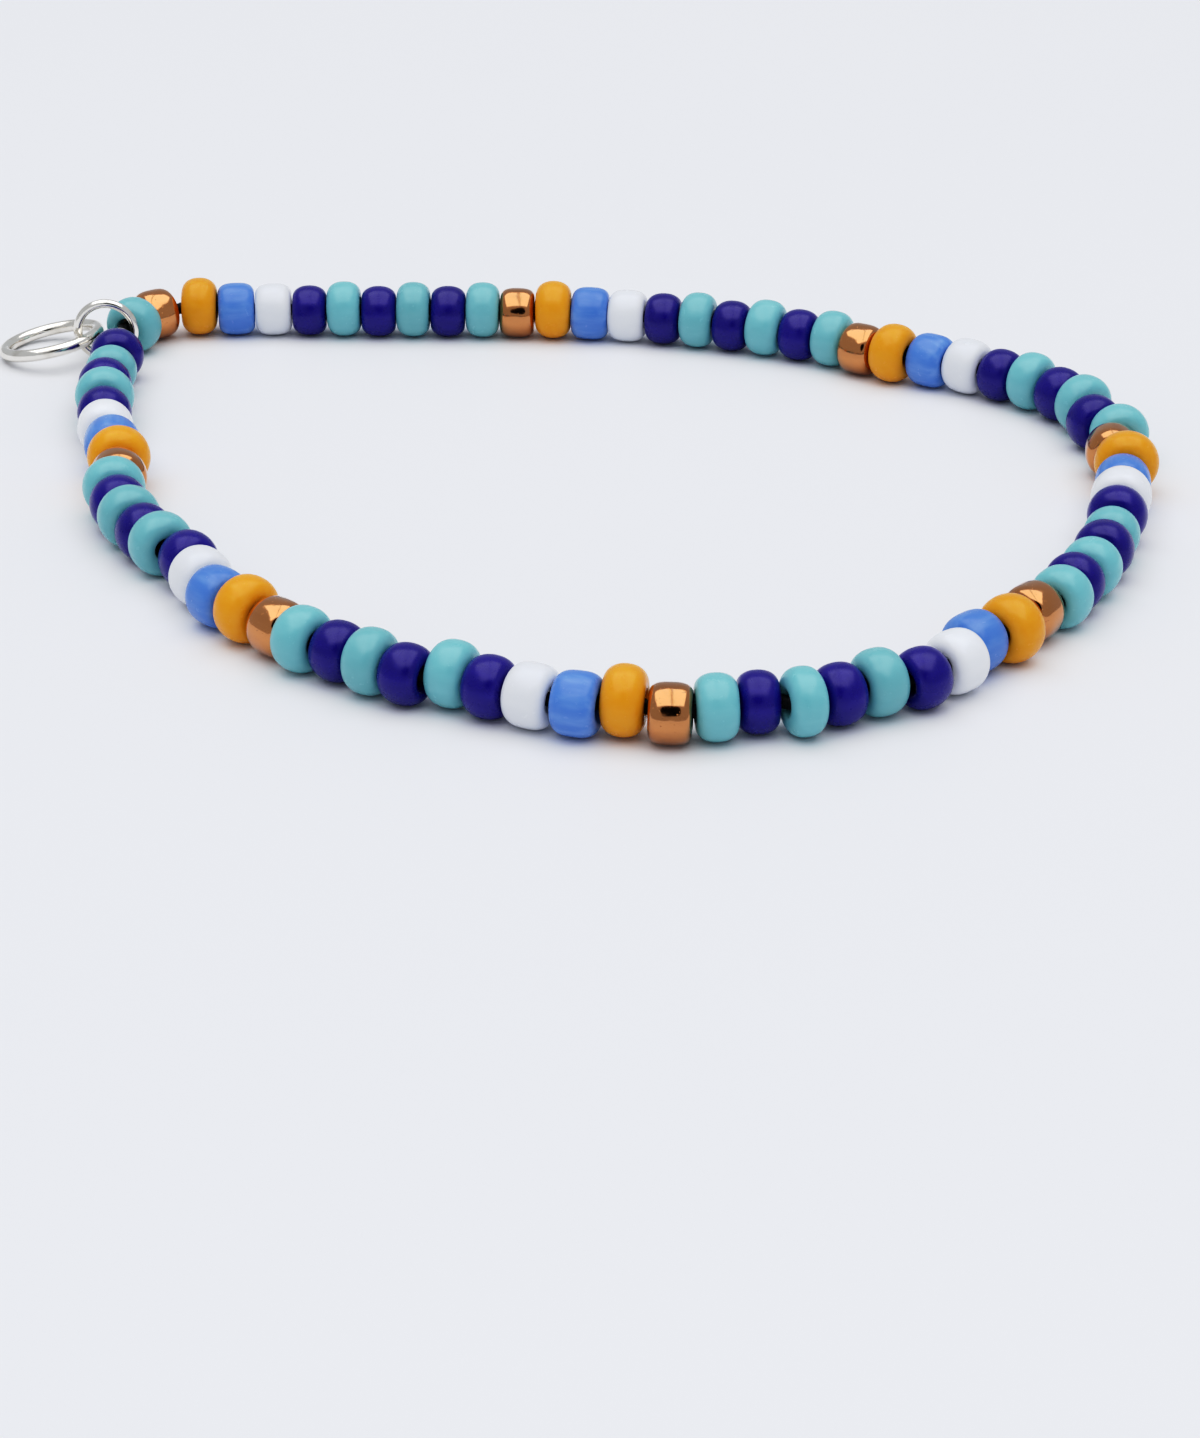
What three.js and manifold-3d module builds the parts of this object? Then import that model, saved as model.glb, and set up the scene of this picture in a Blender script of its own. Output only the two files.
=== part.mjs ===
// A beaded charm bracelet: eighty opaque glass seed beads strung on a black cord in a repeat of ten
// colours. The strand lies in one loose loop, a crimp tube joins the two ends of its cord, and a small
// jump ring on the cord carries a plain round silver ring as its charm.
// Millimetres, +Z up. The bracelet lies on the plane z = 0, and the origin is at the middle of its base.
import * as THREE from "three";
import { mergeVertices } from "three/addons/utils/BufferGeometryUtils.js";
import Module from "manifold-3d";

const manifold = await Module();
manifold.setup();

// ---- Beads -------------------------------------------------------------------------------------
// A round bead is drawn in a little at either end, and a straight bead keeps most of its width. The
// rounded shoulder takes the given share of the length at either end, and the flat face has the given
// share of the diameter.
const ROUND = { shoulder: 0.28, face: 0.62 };
const STRAIGHT = { shoulder: 0.24, face: 0.7 };
const GLASS = { metal: 0, rough: 0.3 };
const PLATED = { metal: 1, rough: 0.2 };
const BEADS = {
  turquoise: { diameter: 3.17, length: 1.94, form: ROUND, finish: { colour: 0x6fbfc4, ...GLASS } },
  cobalt: { diameter: 2.92, length: 1.98, form: ROUND, finish: { colour: 0x24147a, ...GLASS } },
  copper: { diameter: 2.87, length: 1.98, form: STRAIGHT, finish: { colour: 0xc87d4b, ...PLATED } },
  amber: { diameter: 3.29, length: 2.04, form: ROUND, finish: { colour: 0xeba02d, ...GLASS } },
  light_blue: { diameter: 2.98, length: 2.12, form: STRAIGHT, finish: { colour: 0x5a8ce1, ...GLASS } },
  white: { diameter: 3.0, length: 2.1, form: STRAIGHT, finish: { colour: 0xe4e6ec, ...GLASS } },
};
const REPEAT = [
  "turquoise", "copper", "amber", "light_blue", "white",
  "cobalt", "turquoise", "cobalt", "turquoise", "cobalt",
];
const BEAD_COUNT = 8 * REPEAT.length;
const BEAD_SIDES = 10;
const BEADS_PER_STRETCH = 2;

// The solids of neighbouring beads stop this far short of each other.
const BEAD_GAP = 0.22;
// Where the rims of two neighbouring beads meet when the strand turns.
const FACE_RADIUS = 0.6;

// ---- Strand ------------------------------------------------------------------------------------
// The first bead, and the way the strand runs there, in degrees anticlockwise from +X.
const START = { x: -24.24, y: 23.62, heading: 67 };
// From the first bead the strand goes round clockwise, seen from above. Each row turns it evenly over
// its number of beads, by so many degrees in all, and leaves each bead some free length of cord.
const ROUTE = [
  { beads: 2, turn: 65, play: 0.05 }, // back left corner, beside the join
  { beads: 9, turn: 4, play: 0.05 }, // along the back
  { beads: 7, turn: 20, play: 0.05 },
  { beads: 4, turn: 14, play: 0.05 },
  { beads: 4, turn: 6, play: 0.02 }, // a straight run before the right corner
  { beads: 2, turn: 15, play: 0.02 }, // right corner
  { beads: 3, turn: 38, play: 0.02 },
  { beads: 5, turn: 11, play: 0.22 }, // down the right side
  { beads: 5, turn: 21, play: 0.22 },
  { beads: 4, turn: 16, play: 0.01 }, // round the front, where the beads are pushed together
  { beads: 3, turn: 18, play: 0 },
  { beads: 3, turn: 18, play: 0 },
  { beads: 3, turn: 28, play: 0 },
  { beads: 4, turn: 3, play: 0 },
  { beads: 3, turn: 13, play: 0 },
  { beads: 2, turn: 8, play: 0.2 }, // up the left side
  { beads: 3, turn: 11, play: 0.25 },
  { beads: 6, turn: 18, play: 0 },
  { beads: 2, turn: 5, play: 0.22 },
  { beads: 5, turn: -2, play: 0.22 },
];
// Beads that have settled off that line, by so much towards the outside of the loop.
const SETTLED = [
  { bead: 22, outward: -0.4 },
  { bead: 23, outward: -0.4 },
  { bead: 24, outward: 0.2 },
  { bead: 25, outward: 0.6 },
  { bead: 26, outward: 0.8 },
  { bead: 27, outward: 0.8 },
  { bead: 28, outward: 0.6 },
  { bead: 29, outward: 0.3 },
  { bead: 44, outward: -0.5 },
  { bead: 45, outward: 0.3 },
  { bead: 46, outward: 0.5 },
  { bead: 49, outward: 0.4 },
  { bead: 50, outward: -0.4 },
  { bead: 52, outward: 0.2 },
  { bead: 53, outward: -0.5 },
  { bead: 57, outward: -0.2 },
  { bead: 58, outward: 0.6 },
  { bead: 59, outward: 0.5 },
  { bead: 60, outward: 0.2 },
  { bead: 61, outward: 0.4 },
  { bead: 65, outward: -0.5 },
  { bead: 66, outward: -1 },
  { bead: 67, outward: -0.8 },
  { bead: 68, outward: -0.7 },
  { bead: 69, outward: -0.5 },
  { bead: 70, outward: -0.5 },
  { bead: 71, outward: -0.4 },
  { bead: 72, outward: -0.5 },
  { bead: 73, outward: -0.5 },
  { bead: 74, outward: -0.2 },
  { bead: 75, outward: 0.2 },
  { bead: 76, outward: 0.35 },
  { bead: 77, outward: 0.35 },
  { bead: 78, outward: 0.1 },
  { bead: 79, outward: -0.2 },
  { bead: 80, outward: -0.5 },
];

// ---- Cord and join -----------------------------------------------------------------------------
const CORD_DIAMETER = 0.7;
const CORD_SIDES = 6;
const CRIMP_GAP = 0.2; // from the last bead to the crimp tube
const RING_GAP = 0.83; // from the first bead to the middle of the jump ring
const CRIMP = { outer: 1.6, inner: 1.1, length: 1.3, edge: 0.2, sides: 16 };
// A ring's mean diameter and the thickness of its round wire.
const JUMP_RING = { mean: 3.2, wire: 0.5, sides: 6, steps: 24 };
const CHARM_RING = { mean: 5.4, wire: 0.7, sides: 8, steps: 32 };
const CORD_IN_JUMP_RING = 0.82; // from the middle of the jump ring to the cord, on its right
const CHARM_IN_JUMP_RING = { across: 0.82, height: 1.5 }; // where the charm ring's wire goes through it
const CHARM_HEADING = 160; // from the jump ring to the middle of the charm ring, in degrees

const SILVER = { colour: 0xcfc8bd, metal: 1, rough: 0.25 };

const UP = new THREE.Vector3(0, 0, 1);
const LATHE_AXIS = new THREE.Vector3(0, 1, 0); // the way three.js stands a turned solid or a cylinder
const degrees = THREE.MathUtils.degToRad;
const along = (heading) => new THREE.Vector3(Math.cos(heading), Math.sin(heading), 0);

function material({ colour, metal, rough }) {
  return new THREE.MeshStandardMaterial({ color: colour, metalness: metal, roughness: rough });
}

// A closed three.js geometry as a manifold-3d solid.
function solid(geometry) {
  const bare = geometry.clone().deleteAttribute("normal").deleteAttribute("uv");
  const merged = mergeVertices(bare, 1e-4);
  return new manifold.Manifold(
    new manifold.Mesh({
      numProp: 3,
      vertProperties: merged.attributes.position.array,
      triVerts: new Uint32Array(merged.index.array),
    }),
  );
}

// A manifold-3d solid as a three.js geometry.
function geometryOf(shape) {
  const mesh = shape.getMesh();
  const geometry = new THREE.BufferGeometry();
  geometry.setAttribute("position", new THREE.BufferAttribute(mesh.vertProperties, 3));
  geometry.setIndex(new THREE.BufferAttribute(mesh.triVerts, 1));
  geometry.computeVertexNormals();
  return geometry;
}

// The centre, heading and colour of every bead. A bead is straight, so the strand bends between beads,
// and two beads stand apart there by the wedge that opens between their faces.
function strand() {
  const bends = ROUTE.flatMap((row) => {
    const bend = { turn: degrees(row.turn / row.beads), play: row.play };
    return Array(row.beads).fill(bend);
  });
  const beads = [];
  const place = new THREE.Vector3(START.x, START.y, 0);
  let heading = degrees(START.heading);
  for (let i = 0; i < BEAD_COUNT; i++) {
    const colour = REPEAT[i % REPEAT.length];
    const size = BEADS[colour];
    const settled = SETTLED.find((row) => row.bead === i + 1)?.outward ?? 0;
    const outward = new THREE.Vector3(-Math.sin(heading), Math.cos(heading), 0);
    const centre = place.clone().addScaledVector(outward, settled).setZ(size.diameter / 2);
    beads.push({ colour, size, centre, heading });
    if (i === BEAD_COUNT - 1) break;
    const { turn, play } = bends[i];
    const halfGap = play / 2 + FACE_RADIUS * Math.tan(Math.abs(turn) / 2);
    const next = BEADS[REPEAT[(i + 1) % REPEAT.length]];
    place.addScaledVector(along(heading), size.length / 2 + halfGap);
    heading -= turn;
    place.addScaledVector(along(heading), halfGap + next.length / 2);
  }
  return beads;
}

// One bead as a turned solid with its flats tangent to its true circle, so it rests on a flat.
function beadGeometry({ size, centre, heading }) {
  const halfLength = (size.length - BEAD_GAP) / 2;
  const radius = size.diameter / 2 / Math.cos(Math.PI / BEAD_SIDES);
  const faceRadius = radius * size.form.face;
  const straight = halfLength - size.length * size.form.shoulder;
  const profile = [
    new THREE.Vector2(0, -halfLength),
    new THREE.Vector2(faceRadius, -halfLength),
    new THREE.Vector2(radius, -straight),
    new THREE.Vector2(radius, straight),
    new THREE.Vector2(faceRadius, halfLength),
    new THREE.Vector2(0, halfLength),
  ];
  return new THREE.LatheGeometry(profile, BEAD_SIDES, Math.PI / BEAD_SIDES)
    .rotateZ(-Math.PI / 2)
    .rotateZ(heading)
    .translate(centre.x, centre.y, centre.z);
}

// A straight length of cord from one point to another.
function cordGeometry(from, to) {
  const span = to.clone().sub(from);
  const middle = from.clone().add(to).multiplyScalar(0.5);
  const turn = new THREE.Quaternion().setFromUnitVectors(LATHE_AXIS, span.clone().normalize());
  return new THREE.CylinderGeometry(CORD_DIAMETER / 2, CORD_DIAMETER / 2, span.length(), CORD_SIDES)
    .applyQuaternion(turn)
    .translate(middle.x, middle.y, middle.z);
}

// The bare cord from the last bead back to the first, and the places of the pieces on it.
function joinOf(beads) {
  const first = beads[0];
  const last = beads[beads.length - 1];
  const start = last.centre.clone().addScaledVector(along(last.heading), last.size.length / 2);
  const end = first.centre.clone().addScaledVector(along(first.heading), -first.size.length / 2);
  const way = end.clone().sub(start).normalize();
  const crimp = start.clone().addScaledVector(way, CRIMP_GAP + CRIMP.length / 2);
  const ring = end.clone().addScaledVector(way, -RING_GAP);
  return { way, crimp, ring, cordEnd: end.clone().addScaledVector(way, -BEAD_GAP) };
}

function mesh(name, geometry, finish) {
  const piece = new THREE.Mesh(geometry, material(finish));
  piece.name = name;
  return piece;
}

// The beads of one stretch, made one solid with the cord that runs through them.
function stretchMesh(beads, first, bareCord) {
  const members = beads.slice(first, first + BEADS_PER_STRETCH);
  let shape = solid(cordGeometry(members[0].centre, members[members.length - 1].centre));
  for (const bead of members) shape = shape.add(solid(beadGeometry(bead)));
  if (bareCord) shape = shape.add(solid(bareCord));
  const numbers = members.map((_, k) => String(first + k + 1).padStart(2, "0")).join("_");
  return mesh(`beads_${numbers}`, geometryOf(shape), members[0].size.finish);
}

function crimpMesh(join) {
  const { outer, inner, length, edge, sides } = CRIMP;
  const profile = [
    new THREE.Vector2(inner / 2, -length / 2),
    new THREE.Vector2(outer / 2 - edge, -length / 2),
    new THREE.Vector2(outer / 2, edge - length / 2),
    new THREE.Vector2(outer / 2, length / 2 - edge),
    new THREE.Vector2(outer / 2 - edge, length / 2),
    new THREE.Vector2(inner / 2, length / 2),
    new THREE.Vector2(inner / 2, -length / 2),
  ];
  const piece = mesh("crimp_tube", new THREE.LatheGeometry(profile, sides), SILVER);
  piece.quaternion.setFromUnitVectors(LATHE_AXIS, join.way);
  piece.position.copy(join.crimp);
  return piece;
}

// A ring of round wire. Its own axis is turned to the given direction.
function ringMesh(name, ring, middle, axis) {
  const geometry = new THREE.TorusGeometry(ring.mean / 2, ring.wire / 2, ring.sides, ring.steps);
  const piece = mesh(name, geometry, SILVER);
  piece.quaternion.setFromUnitVectors(UP, axis);
  piece.position.copy(middle);
  return piece;
}

// The jump ring stands on the surface across the cord, and the charm ring's wire goes through it. The
// charm ring leans on it there and lies on the surface at its far side.
function ringMeshes(join) {
  const cordWay = join.way.clone().setZ(0).normalize();
  const leftward = UP.clone().cross(cordWay);
  const jumpMiddle = join.ring.clone().addScaledVector(leftward, CORD_IN_JUMP_RING);
  jumpMiddle.setZ((JUMP_RING.mean + JUMP_RING.wire) / 2);
  const held = jumpMiddle.clone().addScaledVector(leftward, CHARM_IN_JUMP_RING.across);
  held.setZ(CHARM_IN_JUMP_RING.height);
  const lean = Math.asin((CHARM_IN_JUMP_RING.height - CHARM_RING.wire / 2) / CHARM_RING.mean);
  const away = along(degrees(CHARM_HEADING));
  const down = away.clone().multiplyScalar(Math.cos(lean)).addScaledVector(UP, -Math.sin(lean));
  const axis = away.clone().multiplyScalar(Math.sin(lean)).addScaledVector(UP, Math.cos(lean));
  const charmMiddle = held.clone().addScaledVector(down, CHARM_RING.mean / 2);
  return [
    ringMesh("jump_ring", JUMP_RING, jumpMiddle, cordWay),
    ringMesh("charm_ring", CHARM_RING, charmMiddle, axis),
  ];
}

const bracelet = new THREE.Group();
const beads = strand();
const join = joinOf(beads);
const lastStretch = BEAD_COUNT - BEADS_PER_STRETCH;
for (let first = 0; first < BEAD_COUNT; first += BEADS_PER_STRETCH) {
  const bareCord = first === lastStretch ? cordGeometry(beads[BEAD_COUNT - 1].centre, join.cordEnd) : null;
  bracelet.add(stretchMesh(beads, first, bareCord));
}
bracelet.add(crimpMesh(join), ...ringMeshes(join));

export default bracelet;
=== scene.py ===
"""A beaded charm bracelet that lies in a loose loop on a pale table.

Eighty opaque glass seed beads, each modelled by itself, are strung on a twisted black cord. A crimp tube
joins the ends of the cord, and a jump ring on it carries a plain silver ring as the charm. Sizes are in
millimetres until a piece is finished, and every finished piece is in metres.
"""

import logging
import math
import random
from collections.abc import Sequence
from dataclasses import dataclass
from enum import Enum
from typing import Any

import bmesh
import bpy
from mathutils import Matrix, Vector
from mathutils.geometry import interpolate_bezier


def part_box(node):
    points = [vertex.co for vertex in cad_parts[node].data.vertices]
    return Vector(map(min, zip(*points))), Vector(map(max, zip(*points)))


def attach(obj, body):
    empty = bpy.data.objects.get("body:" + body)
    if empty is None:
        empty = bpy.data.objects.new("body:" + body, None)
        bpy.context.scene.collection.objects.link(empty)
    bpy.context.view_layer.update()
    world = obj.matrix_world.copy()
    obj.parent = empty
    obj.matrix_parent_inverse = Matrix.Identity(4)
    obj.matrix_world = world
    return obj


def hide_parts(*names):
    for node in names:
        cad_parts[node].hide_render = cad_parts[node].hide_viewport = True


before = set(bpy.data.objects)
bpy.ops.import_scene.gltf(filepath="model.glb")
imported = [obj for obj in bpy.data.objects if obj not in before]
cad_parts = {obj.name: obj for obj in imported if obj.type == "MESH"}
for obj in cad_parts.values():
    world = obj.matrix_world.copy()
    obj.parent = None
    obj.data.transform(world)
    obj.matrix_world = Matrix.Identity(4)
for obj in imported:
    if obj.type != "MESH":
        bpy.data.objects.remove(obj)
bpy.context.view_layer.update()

log = logging.getLogger("bracelet")

MM = 0.001
WELD = 1e-4  # vertices nearer than this are one
BODY = "root"
SEED = 8
UP = Vector((0.0, 0.0, 1.0))
X_AXIS = Vector((1.0, 0.0, 0.0))
BEADS_PER_STRETCH = 2  # of the frame
PLACE = "bead_place"  # attribute: a point's place in its own bead, in millimetres, with X along the bore
LOT = "bead_lot"  # attribute: a number from 0 to 1 for each bead

Colour = tuple[float, float, float, float]


def linear(code: int) -> Colour:
    """Turn a screen colour into the linear light that shaders read.

    Args:
        code: The colour as 0xRRGGBB.

    Returns:
        Red, green, blue and an alpha of one.
    """
    channels = []
    for shift in (16, 8, 0):
        value = (code >> shift & 0xFF) / 0xFF
        channels.append(value / 12.92 if value <= 0.04045 else ((value + 0.055) / 1.055) ** 2.4)
    return (channels[0], channels[1], channels[2], 1.0)


def along(heading: float) -> Vector:
    """Return the level direction at a heading in radians, anticlockwise from +X."""
    return Vector((math.cos(heading), math.sin(heading), 0.0))


# ---- Shader nodes ----


@dataclass(frozen=True)
class Grain:
    """A pattern of noise.

    Attributes:
        scale: How fine it is.
        detail: How many finer layers lie over it.
        seed: Which pattern of its kind it is, where that doesn't follow the bead's lot.
    """

    scale: float
    detail: float
    seed: float = 0.0


class Nodes:
    """Adds nodes to a tree and links them, so that a finish reads as a row of steps."""

    def __init__(self, tree: bpy.types.NodeTree) -> None:
        """Keep the tree that the nodes go into."""
        self.tree = tree

    def plug(self, socket: bpy.types.NodeSocket, value: Any) -> None:
        """Link an input to another node's output, or set it to a plain value.

        Args:
            socket: The input.
            value: The other node's output socket, or the plain value.
        """
        if isinstance(value, bpy.types.NodeSocket):
            self.tree.links.new(value, socket)
        else:
            socket.default_value = value

    def feed(self, node: bpy.types.Node, inputs: dict[Any, Any]) -> None:
        """Plug a value or another node's output into each of a node's inputs, by name or number."""
        for key, value in inputs.items():
            self.plug(node.inputs[key], value)

    def add(self, kind: str, inputs: dict[Any, Any] | None = None, **settings: Any) -> bpy.types.Node:
        """Add one node.

        Args:
            kind: The node's type, such as ShaderNodeMath.
            inputs: What the node is fed with.
            **settings: The node's own settings.

        Returns:
            The new node.
        """
        node = self.tree.nodes.new(kind)
        for name, value in settings.items():
            setattr(node, name, value)
        self.feed(node, inputs or {})
        return node

    def math(self, operation: str, *values: Any) -> bpy.types.NodeSocket:
        """Add a Math node and return its result."""
        return self.add("ShaderNodeMath", dict(enumerate(values)), operation=operation).outputs[0]

    def mix(self, factor: Any, first: Any, second: Any) -> bpy.types.NodeSocket:
        """Mix two colours.

        Args:
            factor: How much of the second colour there is, from 0 to 1.
            first: The colour at 0.
            second: The colour at 1.

        Returns:
            The mixed colour.
        """
        node = self.add("ShaderNodeMix", data_type="RGBA")
        inputs = {socket.identifier: socket for socket in node.inputs}
        for key, value in (("Factor_Float", factor), ("A_Color", first), ("B_Color", second)):
            self.plug(inputs[key], value)
        return next(socket for socket in node.outputs if socket.identifier == "Result_Color")

    def ramp(
        self, value: Any, low: float, high: float, start: float = 0.0, end: float = 1.0
    ) -> bpy.types.NodeSocket:
        """Map a value smoothly, so that low becomes start and high becomes end, and return it."""
        inputs = {"Value": value, "From Min": low, "From Max": high, "To Min": start, "To Max": end}
        return self.add("ShaderNodeMapRange", inputs, interpolation_type="SMOOTHSTEP").outputs["Result"]

    def noise(self, place: Any, grain: Grain, lot: Any = None) -> bpy.types.NodeSocket:
        """Add noise, different for each lot or with the grain's own seed, and return its value."""
        seed = grain.seed if lot is None else lot
        inputs = {"Vector": place, "W": seed, "Scale": grain.scale, "Detail": grain.detail}
        return self.add("ShaderNodeTexNoise", inputs, noise_dimensions="4D").outputs["Fac"]

    def stretch(self, place: Any, factors: tuple[float, float, float]) -> bpy.types.NodeSocket:
        """Multiply each coordinate of a place by its own factor, and return the new place."""
        return self.add("ShaderNodeVectorMath", {0: place, 1: factors}, operation="MULTIPLY").outputs[0]

    def bump(self, height: bpy.types.NodeSocket, depth: float) -> bpy.types.NodeSocket:
        """Return the normal of a relief from 0 to 1 with a full depth in millimetres."""
        inputs = {"Height": height, "Distance": depth * MM, "Strength": 1.0}
        return self.add("ShaderNodeBump", inputs).outputs["Normal"]


FLOAT, VECTOR, COLOUR = "NodeSocketFloat", "NodeSocketVector", "NodeSocketColor"


class Effect:
    """A shader node group that several finishes share. It is built when it is first asked for."""

    MARKS = {"Place": VECTOR, "Lot": FLOAT}  # every effect reads a bead's marks

    name: str
    inputs: dict[str, str]
    outputs: dict[str, str]
    lot_spread: float  # how far apart the patterns of two lots are

    @classmethod
    def add_to(cls, nodes: Nodes, inputs: dict[str, Any]) -> bpy.types.NodeOutputs:
        """Put the group into a material with its inputs, and return its node's outputs."""
        tree = bpy.data.node_groups.get(cls.name) or cls.build()
        return nodes.add("ShaderNodeGroup", inputs, node_tree=tree).outputs

    @classmethod
    def build(cls) -> bpy.types.NodeTree:
        """Make the group with its sockets, and return it."""
        tree = bpy.data.node_groups.new(cls.name, "ShaderNodeTree")
        for way, sockets in (("INPUT", cls.MARKS | cls.inputs), ("OUTPUT", cls.outputs)):
            for name, kind in sockets.items():
                tree.interface.new_socket(name, in_out=way, socket_type=kind)
        nodes = Nodes(tree)
        given = nodes.add("NodeGroupInput").outputs
        lot = nodes.math("MULTIPLY", given["Lot"], cls.lot_spread)
        nodes.add("NodeGroupOutput", cls.work(nodes, given, lot))
        return tree

    @classmethod
    def work(cls, nodes: Nodes, given: bpy.types.NodeOutputs, lot: Any) -> dict[str, Any]:
        """Add the group's own steps, with the lot spread out, and return a socket for each output."""
        raise NotImplementedError


class DrawnGlass(Effect):
    """The colour of glass drawn into a tube, with streaks along the bore."""

    name = "drawn_glass"
    inputs = {"Colour": COLOUR, "Streak Colour": COLOUR, "Streaks": FLOAT}
    outputs = {"Colour": COLOUR}
    lot_spread = 30.0

    DRAWN_OUT = (0.22, 1.0, 1.0)
    STREAK = Grain(1.9, 3.0)
    STREAK_RANGE = (0.38, 0.72)
    BRIGHTNESS = (0.94, 1.05)

    @classmethod
    def work(cls, nodes: Nodes, given: bpy.types.NodeOutputs, lot: Any) -> dict[str, Any]:
        """Mix the streaks into the body colour, and give each lot its own strength of colour."""
        drawn = nodes.stretch(given["Place"], cls.DRAWN_OUT)
        streak = nodes.ramp(nodes.noise(drawn, cls.STREAK, lot), *cls.STREAK_RANGE)
        share = nodes.math("MULTIPLY", streak, given["Streaks"])
        streaked = nodes.mix(share, given["Colour"], given["Streak Colour"])
        strength = nodes.ramp(given["Lot"], 0.0, 1.0, *cls.BRIGHTNESS)
        even = nodes.add("ShaderNodeHueSaturation", {"Value": strength, "Color": streaked})
        return {"Colour": even.outputs[0]}


class FiredSkin(Effect):
    """The fire-polished skin of a bead: soft ripples, drawn ridges, fine pits and an uneven gloss."""

    name = "fired_skin"
    inputs = {"Gloss": FLOAT, "Unevenness": FLOAT}
    outputs = {"Roughness": FLOAT, "Height": FLOAT}
    lot_spread = 50.0

    RIPPLE = Grain(1.1, 1.0)
    RIDGE = Grain(4.5, 1.0)
    RIDGE_DRAWN_OUT = (0.3, 1.0, 1.0)
    RIDGE_DEPTH = 0.09
    SMUDGE = Grain(2.6, 4.0)
    MEAN_SMUDGE = 0.5
    PIT = Grain(9.0, 2.0)
    PIT_RANGE = (0.66, 0.78)
    PIT_DEPTH = 0.25
    PIT_DULLNESS = 0.08

    @classmethod
    def work(cls, nodes: Nodes, given: bpy.types.NodeOutputs, lot: Any) -> dict[str, Any]:
        """Make the ripples, ridges and pits, and let the smudges and pits dull the gloss a little."""
        place = given["Place"]
        ripple = nodes.noise(place, cls.RIPPLE, lot)
        ridge = nodes.noise(nodes.stretch(place, cls.RIDGE_DRAWN_OUT), cls.RIDGE, lot)
        relief = nodes.math("MULTIPLY_ADD", ridge, cls.RIDGE_DEPTH, ripple)
        pits = nodes.ramp(nodes.noise(place, cls.PIT, lot), *cls.PIT_RANGE)
        smudge = nodes.math("SUBTRACT", nodes.noise(place, cls.SMUDGE, lot), cls.MEAN_SMUDGE)
        uneven = nodes.math("MULTIPLY_ADD", smudge, given["Unevenness"], given["Gloss"])
        return {
            "Roughness": nodes.math("MULTIPLY_ADD", pits, cls.PIT_DULLNESS, uneven),
            "Height": nodes.math("MULTIPLY_ADD", pits, -cls.PIT_DEPTH, relief),
        }


class WornAndShadedRims(Effect):
    """A mask of the bore and the rims round it: where a plated coat has rubbed thin, and where painted
    shade darkens the bore.
    """

    name = "worn_and_shaded_rims"
    inputs = {"Reach": FLOAT}
    outputs = {"Mask": FLOAT}
    lot_spread = 40.0

    ACROSS = (0.0, 1.0, 1.0)  # leaves out the way along the bore
    RAGGED = Grain(3.0, 3.0)
    RAGGEDNESS = 0.35
    SOFT_EDGE = 0.3

    @classmethod
    def work(cls, nodes: Nodes, given: bpy.types.NodeOutputs, lot: Any) -> dict[str, Any]:
        """Measure how far a point is from the bead's axis, and break up the edge of the mask."""
        flat = nodes.stretch(given["Place"], cls.ACROSS)
        radius = nodes.add("ShaderNodeVectorMath", {0: flat}, operation="LENGTH").outputs["Value"]
        edge = nodes.noise(given["Place"], cls.RAGGED, lot)
        ragged = nodes.math("MULTIPLY_ADD", edge, cls.RAGGEDNESS, radius)
        past = nodes.math("SUBTRACT", ragged, given["Reach"])
        return {"Mask": nodes.ramp(past, 0.0, cls.SOFT_EDGE, 1.0, 0.0)}


# ---- Finishes ----


@dataclass(frozen=True)
class Finish:
    """A material and the slot of the record that it dresses."""

    slot: str

    def material(self) -> bpy.types.Material:
        """Return the material, made when it is first asked for."""
        name = f"{self.slot}_finish"  # the frame's plain materials have the slots' own names
        found = bpy.data.materials.get(name)
        if found:
            return found
        made = bpy.data.materials.new(name)
        made.use_nodes = True
        made.node_tree.nodes.clear()
        nodes = Nodes(made.node_tree)
        shader = nodes.add("ShaderNodeBsdfPrincipled")
        nodes.add("ShaderNodeOutputMaterial", {"Surface": shader.outputs["BSDF"]})
        self.dress(nodes, shader)
        return made

    def dress(self, nodes: Nodes, shader: bpy.types.Node) -> None:
        """Set the shader's own values, and feed it with what changes over the surface."""
        raise NotImplementedError


def bead_marks(nodes: Nodes) -> dict[str, Any]:
    """Return the sockets that read a bead's marks, by the names that the effects give them."""
    return {
        "Place": nodes.add("ShaderNodeAttribute", attribute_name=PLACE).outputs["Vector"],
        "Lot": nodes.add("ShaderNodeAttribute", attribute_name=LOT).outputs["Fac"],
    }


@dataclass(frozen=True)
class OpaqueGlass(Finish):
    """Solid-coloured glass with a fire-polished skin. Light sinks in a little before it comes back."""

    colour: Colour
    streak: Colour
    streaks: float = 0.25
    gloss: float = 0.25
    shine: float = 0.5
    shine_colour: Colour = (1.0, 1.0, 1.0, 1.0)
    unevenness: float = 0.14
    ripple_depth: float = 0.03
    sink: float = 0.25
    sink_reach: float = 0.35

    REFRACTION = 1.5

    def dress(self, nodes: Nodes, shader: bpy.types.Node) -> None:
        """Colour the glass with its streaks, and polish it."""
        marks = bead_marks(nodes)
        body = DrawnGlass.add_to(nodes, marks | {
            "Colour": self.colour, "Streak Colour": self.streak, "Streaks": self.streaks,
        })
        skin = FiredSkin.add_to(nodes, marks | {"Gloss": self.gloss, "Unevenness": self.unevenness})
        nodes.feed(shader, {
            "Base Color": body["Colour"],
            "Roughness": skin["Roughness"],
            "Normal": nodes.bump(skin["Height"], self.ripple_depth),
            "IOR": self.REFRACTION,
            "Specular IOR Level": self.shine,
            "Specular Tint": self.shine_colour,
            "Subsurface Weight": self.sink,
            "Subsurface Radius": (1.0, 1.0, 1.0),
            "Subsurface Scale": self.sink_reach * MM,
        })


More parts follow.
